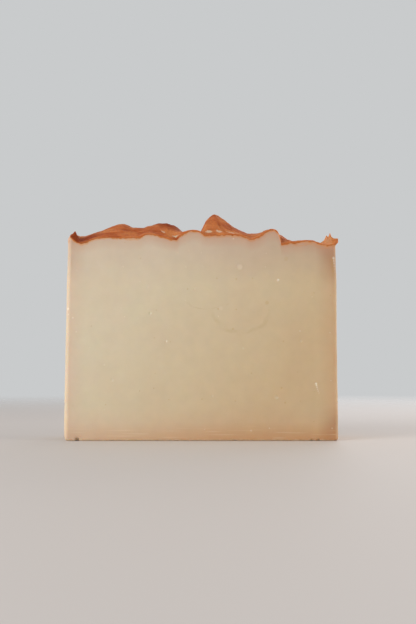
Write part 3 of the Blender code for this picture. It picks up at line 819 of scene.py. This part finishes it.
def skin_cover(tree, at, skin):
    """(mm below the skin's edge, share of skin that shows, share that isn't torn away) of a place."""
    # The skin's edge in the cut is ragged, thin at both sides and thicker on the right
    thick = add(tree, "MapRange", (at.rag, 0.38, 0.62, skin * 0.35, skin * 1.2))
    at_side = add(tree, "MapRange", (at.aside, 43.0, 43.8, 1.0, 0.4))
    thick = add(tree, "Math", (thick, at_side), operation="MULTIPLY")
    at_right = add(tree, "MapRange", (at.x, 13.0, 19.0, 1.0, 1.3))
    thick = add(tree, "Math", (thick, at_right), operation="MULTIPLY")
    over = add(tree, "Math", (at.skin_depth, thick), operation="SUBTRACT")
    shown = add(tree, "MapRange", (over, 0.06, -0.06))
    torn = add(tree, "Math", (at.rag, 0.6, -0.3), operation="MULTIPLY_ADD")
    torn = add(tree, "Math", (at.bare, torn), operation="ADD")
    covered = add(tree, "MapRange", (torn, 0.6, 0.42))
    return over, add(tree, "Math", (shown, covered), operation="MULTIPLY"), covered


def rust_tones(tree, colours, at, bared):
    """The oxide skin: streaky, dark in hollows, partly where it pooled and partly as painted shade, pale where
    it is thin, orange where the wire cut it.
    """
    tones = add(
        tree, "ValToRGB", (at.streak,),
        stops=((0.3, colours.rust_dark), (0.5, colours.rust), (0.72, colours.rust_light)),
    )
    # Hollows darken with pooled oxide and painted shade
    pooled = add(tree, "MapRange", (at.hollow, 0.02, 0.75, 0.0, 0.9))
    thin = add(tree, "Math", (at.grain, 0.5, -0.25), operation="MULTIPLY_ADD")
    thin = add(tree, "Math", (at.thin, thin), operation="ADD")
    thin = add(tree, "MapRange", (thin, 0.15, 1.0, 0.0, 0.9))
    tones = tinted(tree, tones, ((pooled, colours.pooled), (thin, colours.thin), (bared, colours.torn)))
    dust = add(tree, "MapRange", (at.grain, 0.3, 0.7, 0.9, 1.1))
    tones = add(tree, "VectorMath", {0: tones, "Scale": dust}, operation="SCALE")
    sliced = add(tree, "MapRange", (at.skin_depth, 0.0, 0.16, 0.0, 0.8))
    kept = add(tree, "Math", (at.thin, -0.8, 1.0), operation="MULTIPLY_ADD")
    sliced = add(tree, "Math", (sliced, kept), operation="MULTIPLY")
    return tinted(tree, tones, [(sliced, colours.sliced)])


def soap_relief(tree, at, skin_share, speck):
    """The bumps of the cut and the skin, from heights in mm."""
    cut = add(tree, "Math", (at.chatter, 0.022), operation="MULTIPLY")
    for pattern, height in ((at.drag, 0.014), (at.grain, 0.012), (speck, -0.06)):
        cut = add(tree, "Math", (pattern, height, cut), operation="MULTIPLY_ADD")
    look = {"Vector": at.mm, "Scale": 1 / CREASE_WIDTH, "Detail": 5.0, "Roughness": 0.62, "Distortion": 0.6}
    creases = add(tree, "TexNoise", look)
    dry = add(tree, "Math", (creases, 0.16), operation="MULTIPLY")
    dry = add(tree, "Math", (at.streak, 0.3, dry), operation="MULTIPLY_ADD")
    height = add(tree, "Mix", {0: skin_share, 2: cut, 3: dry})
    return add(tree, "Bump", {"Height": height, "Distance": MM, "Strength": 1.0})


def blank_tree(owner):
    """The empty node tree of a material or a world."""
    owner.use_nodes = True
    owner.node_tree.nodes.clear()
    return owner.node_tree


def soap_finish(colours, skin):
    """Cold-process soap with an iron-oxide skin.

    The eye sees a soft, slightly translucent cream, more yellow in the middle of a cut and pinker towards its
    rim, dull where the wire dragged, with a few open bubbles. The oxide skin on top is matt and crumpled,
    dark in its hollows, partly where it pooled and partly as painted shade, and pale where it tore or ran
    thin.
    """
    material = bpy.data.materials.new("cold-process soap with oxide skin")
    tree = blank_tree(material)
    at = soap_patterns(tree)
    speck, speck_colour = specks(tree, colours, at)
    faint = add(tree, "Math", (speck, 0.4), operation="MULTIPLY")
    # Pale insides of open bubbles: partly fresh soap, partly a painted glint
    pale = add(tree, "Math", (at.open, 0.0), operation="MAXIMUM")
    oily = add(tree, "Math", (at.open, -0.45), operation="MULTIPLY", use_clamp=True)
    over, skin_share, covered = skin_cover(tree, at, skin)
    # Oxide bled orange into the cream, up to 0.6 mm and three times as far where the skin is thin
    far = add(tree, "Math", (at.thin, 2.0, 1.0), operation="MULTIPLY_ADD")
    far = add(tree, "Math", (over, far), operation="DIVIDE")
    far = add(tree, "Math", (at.grain, 0.5, far), operation="MULTIPLY_ADD")
    bleed = add(tree, "MapRange", (far, 0.85, 0.25, 0.0, 0.85))
    cream = tinted(tree, dried_cream(tree, colours, at), (
        (swirl_share(tree, at), colours.swirl), (faint, speck_colour), (pale, colours.speck_pale),
        (oily, colours.speck_tan), (bleed, colours.bleed),
    ))
    # Past its thinnest the skin gives way to bare soap
    bared = add(tree, "MapRange", (at.thin, 1.0, 1.4, 0.0, 0.6))
    left_over = add(tree, "Math", (bared, -0.9, 1.0), operation="MULTIPLY_ADD")
    skin_share = add(tree, "Math", (skin_share, left_over), operation="MULTIPLY")
    rust = rust_tones(tree, colours, at, bared)
    colour = tinted(tree, colours.torn, ((covered, cream), (skin_share, rust)))

    # Dull soap: the dry skin is rougher than the cut and shines less
    cut_rough = add(tree, "MapRange", (at.mottle, 0.0, 1.0, 0.42, 0.58))
    skin_rough = add(tree, "MapRange", (at.grain, 0.0, 1.0, 0.5, 0.8))
    rough = add(tree, "Mix", {0: skin_share, 2: cut_rough, 3: skin_rough})
    shine = add(tree, "Mix", {0: skin_share, 2: 0.3, 3: 0.19})
    # Soap scatters light about 1 mm deep, reddest furthest
    shader = add(tree, "BsdfPrincipled", {
        "Base Color": colour, "Roughness": rough, "IOR": 1.46, "Specular IOR Level": shine,
        "Normal": soap_relief(tree, at, skin_share, speck), "Subsurface Weight": 0.55,
        "Subsurface Radius": (1.0, 0.6, 0.35), "Subsurface Scale": 1.2 * MM,
    })
    add(tree, "OutputMaterial", {"Surface": shader})
    return material


# The floor, in metres: its radius, how far it lies below the bar, and where it fades out around it
FLOOR_RADIUS = 2.0
FLOOR_GAP = 0.02 * MM
FLOOR_FADE = (0.15, 0.6)


def floor_finish(colour):
    """Plain matt floor, which fades out far from the bar so that no edge of it shows."""
    material = bpy.data.materials.new("matt floor")
    tree = blank_tree(material)
    place = add(tree, "TexCoord", out="Object")
    away = add(tree, "VectorMath", (place,), operation="LENGTH")
    fade = add(tree, "MapRange", (away, *FLOOR_FADE), interpolation_type="SMOOTHSTEP")
    shader = add(tree, "BsdfPrincipled", {"Base Color": colour, "Roughness": 0.7})
    mix = add(tree, "MixShader", (fade, shader, add(tree, "BsdfTransparent")))
    add(tree, "OutputMaterial", {"Surface": mix})
    return material


def shade(name, code, description):
    """A colour setting, from its sRGB code."""
    return FloatVectorProperty(
        name=name, description=description, default=linear(code), subtype="COLOR", min=0.0, max=1.0
    )


class SoapBarSettings(bpy.types.PropertyGroup):
    """Sizes and colours of the cut bar."""

    skin: FloatProperty(
        name="Skin", description="How thick the oxide skin shows in the cut", default=0.43 * MM, min=0.0,
        subtype="DISTANCE", unit="LENGTH", precision=5,
    )
    stroke: FloatProperty(
        name="Strokes", description="Height of the spoon's fine strokes", default=0.3 * MM, min=0.0,
        subtype="DISTANCE", unit="LENGTH", precision=5,
    )
    core: shade("Core", "#D6C9AC", "Cream in the middle of a cut")
    # Warm colours, to the right and low down: partly drying, partly painted shade and a painted warm
    # reflection
    core_warm: shade("Warm core", "#CFB790", "Cream in the middle, on the side that dried more")
    rim: shade("Rim", "#D6BBA2", "Cream near the rim of a cut")
    rim_warm: shade("Warm rim", "#CDA880", "Cream near the rim, on the side that dried more")
    rim_top: shade("Top rim", "#CFBDA6", "Cream just under the skin")
    rim_top_warm: shade("Warm top rim", "#BB9C82", "Cream just under the skin, on the side that dried more")
    # Dark corners and foot: partly drying, partly painted shade and a painted warm reflection from below
    corner: shade("Corner", "#AD7A55", "Cream in the corners of a cut")
    heel: shade("Foot", "#BE8450", "Cream along the bottom edge")
    tinge: shade("Tinge", "#C6967A", "Cream that the oxide tinged under the skin")
    # Pale soda bloom, which also carries painted highlights on the left edge and the bottom edge
    bloom_and_highlight: shade("Bloom", "#DFC8A6", "Pale soda bloom on the mould's faces")
    swirl: shade("Swirl", "#B39A66", "Faint swirl in the cream")
    speck_tan: shade("Oily speck", "#BE9A58", "Specks of oil")
    # Pale specks, and the pale insides of open bubbles, partly a painted glint
    speck_pale: shade("Pale speck", "#EFE4CE", "Open bubbles and crumbs")
    bleed: shade("Bleed", "#D2935A", "Oxide that bled under the skin")
    torn: shade("Torn", "#CEAC8E", "Soap laid bare where the skin tore")
    sliced: shade("Sliced skin", "#C67A38", "Edge of the skin where the wire cut it")
    rust: shade("Rust", "#B46233", "Oxide skin")
    rust_dark: shade("Dark rust", "#984414", "Dark streaks of the skin")
    rust_light: shade("Light rust", "#C27945", "Light streaks of the skin")
    # Dark oxide in hollows, partly pooled and partly painted shade
    pooled: shade("Pooled rust", "#823002", "Oxide pooled in a hollow")
    thin: shade("Thin skin", "#CA8048", "Skin with cream showing through")


def lamp_power(name, watts, where):
    """The power of one of the soft lamps."""
    return FloatProperty(
        name=name, description=f"Power of the soft lamp {where}", default=watts, min=0.0, subtype="POWER",
        unit="POWER",
    )


class SoapStageSettings(bpy.types.PropertyGroup):
    """Colours and lamps of the stage."""

    floor: shade("Floor", "#CBC4BD", "Colour of the floor")
    backdrop: shade("Backdrop", "#C9CBCC", "Colour behind the bar")
    sky: FloatProperty(
        name="Sky", description="Level of the light from all round", default=0.5, min=0.0, subtype="FACTOR"
    )
    key: lamp_power("Key lamp", 2.62, "on the left")
    fill: lamp_power("Fill lamp", 1.35, "on the right")
    back: lamp_power("Back lamp", 0.9, "behind the bar")


class SOAP_OT_cut_bar(bpy.types.Operator):
    """Model the cut bar with its spooned oxide top, and put it in the solid's place"""

    bl_idname = "soap.cut_bar"
    bl_label = "Cut Bar"

    def execute(self, context):
        settings = context.scene.soap_bar
        net = bar_net(settings.stroke)
        press_pits(net, FRONT, FRONT_PITS)
        press_pits(net, REAR, REAR_PITS)
        bmesh.ops.recalc_face_normals(net, faces=net.faces)
        bar = link_mesh(context, net, "cut_bar", soap_finish(settings, settings.skin / MM))
        bar.data.shade_smooth()
        bar.data.set_sharp_from_angle(angle=math.radians(SHARP_DEGREES))
        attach(bar, "root")
        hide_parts("soap_bar")
        return {"FINISHED"}


# Lamps: name, place and size in metres, and colour. All of them face the middle of the bar.
Lamp = namedtuple("Lamp", "name place size colour")
KEY = Lamp("key_lamp", (-0.46, -0.34, 0.2), 0.36, "#F7FAFF")
FILL = Lamp("fill_lamp", (0.5, -0.06, 0.24), 0.4, "#FFF0DF")
BACK = Lamp("back_lamp", (0.22, 0.52, 0.2), 0.4, "#FAFAFF")
LAMP_AIM = (0.0, 0.0, 0.04)
SKY_COLOUR = "#FAFAFF"


def hang(context, lamp, power):
    """Hangs one square soft lamp."""
    light = bpy.data.lights.new(lamp.name, "AREA")
    light.size, light.energy, light.color = lamp.size, power, linear(lamp.colour)
    thing = bpy.data.objects.new(lamp.name, light)
    thing.location = lamp.place
    thing.rotation_euler = (Vector(LAMP_AIM) - Vector(lamp.place)).to_track_quat("-Z", "Y").to_euler()
    context.scene.collection.objects.link(thing)


# The camera stands 276.4 mm in front of the cut, 21.8 mm above the floor, and looks up 4.1 degrees
CAMERA_BEFORE_CUT = 276.366 * MM
CAMERA_HEIGHT = 21.839 * MM
CAMERA_ASIDE = 2.257 * MM
FOCAL_PIXELS = 850.0
HORIZON_BELOW_MIDDLE = 61.0
IMAGE_HEIGHT = 624
SENSOR = 36.0
CLIP_START = 0.01


class SOAP_OT_stage(bpy.types.Operator):
    """Set up the floor, the backdrop, the lamps and the camera"""

    bl_idname = "soap.stage"
    bl_label = "Stage"

    def execute(self, context):
        scene = context.scene
        settings = scene.soap_stage
        net = bmesh.new()
        bmesh.ops.create_circle(net, cap_ends=True, segments=96, radius=FLOOR_RADIUS)
        bmesh.ops.translate(net, verts=net.verts, vec=(0.0, 0.0, SOLID_BOX[0][2] - FLOOR_GAP))
        floor = link_mesh(context, net, "floor", floor_finish(settings.floor))

        # What looks straight at the world sees the backdrop, and its light is the sky's
        scene.world = bpy.data.worlds.new("studio")
        tree = blank_tree(scene.world)
        rays = add(tree, "LightPath").node.outputs
        seen = add(tree, "Math", (rays["Is Camera Ray"], rays["Is Glossy Ray"]), operation="ADD")
        seen = add(tree, "Math", (seen, rays["Is Transmission Ray"]), operation="ADD", use_clamp=True)
        light = add(tree, "Background", {"Color": linear(SKY_COLOUR), "Strength": settings.sky})
        backdrop = add(tree, "Background", {"Color": settings.backdrop, "Strength": 1.0})
        add(tree, "OutputWorld", {"Surface": add(tree, "MixShader", (seen, light, backdrop))})

        hang(context, KEY, settings.key)
        hang(context, FILL, settings.fill)
        hang(context, BACK, settings.back)

        camera = bpy.data.cameras.new("camera")
        camera.sensor_width = SENSOR
        camera.clip_start = CLIP_START
        camera.lens = FOCAL_PIXELS * SENSOR / IMAGE_HEIGHT
        view = bpy.data.objects.new("camera", camera)
        view.location = (CAMERA_ASIDE, -THICKNESS / 2 - CAMERA_BEFORE_CUT, CAMERA_HEIGHT)
        view.rotation_euler.x = math.pi / 2 + math.atan(HORIZON_BELOW_MIDDLE / FOCAL_PIXELS)
        scene.collection.objects.link(view)
        scene.camera = view
        scene.view_settings.view_transform = "Standard"
        return {"FINISHED"}


class SOAP_PT_bar(bpy.types.Panel):
    """The bar's pieces and their settings"""

    bl_label = "Bar of Soap"
    bl_space_type = "VIEW_3D"
    bl_region_type = "UI"
    bl_category = "Soap"

    def draw(self, context):
        scene = context.scene
        for operator, group in ((SOAP_OT_cut_bar, scene.soap_bar), (SOAP_OT_stage, scene.soap_stage)):
            box = self.layout.box()
            box.operator(operator.bl_idname)
            for name in type(group).__annotations__:
                box.prop(group, name)


CLASSES = (SoapBarSettings, SoapStageSettings, SOAP_OT_cut_bar, SOAP_OT_stage, SOAP_PT_bar)


def register():
    for kind in CLASSES:
        bpy.utils.register_class(kind)
    bpy.types.Scene.soap_bar = PointerProperty(type=SoapBarSettings)
    bpy.types.Scene.soap_stage = PointerProperty(type=SoapStageSettings)


def unregister():
    del bpy.types.Scene.soap_stage
    del bpy.types.Scene.soap_bar
    for kind in reversed(CLASSES):
        bpy.utils.unregister_class(kind)


def main():
    register()
    bpy.ops.soap.stage()
    bpy.ops.soap.cut_bar()


if __name__ == "__main__":
    main()
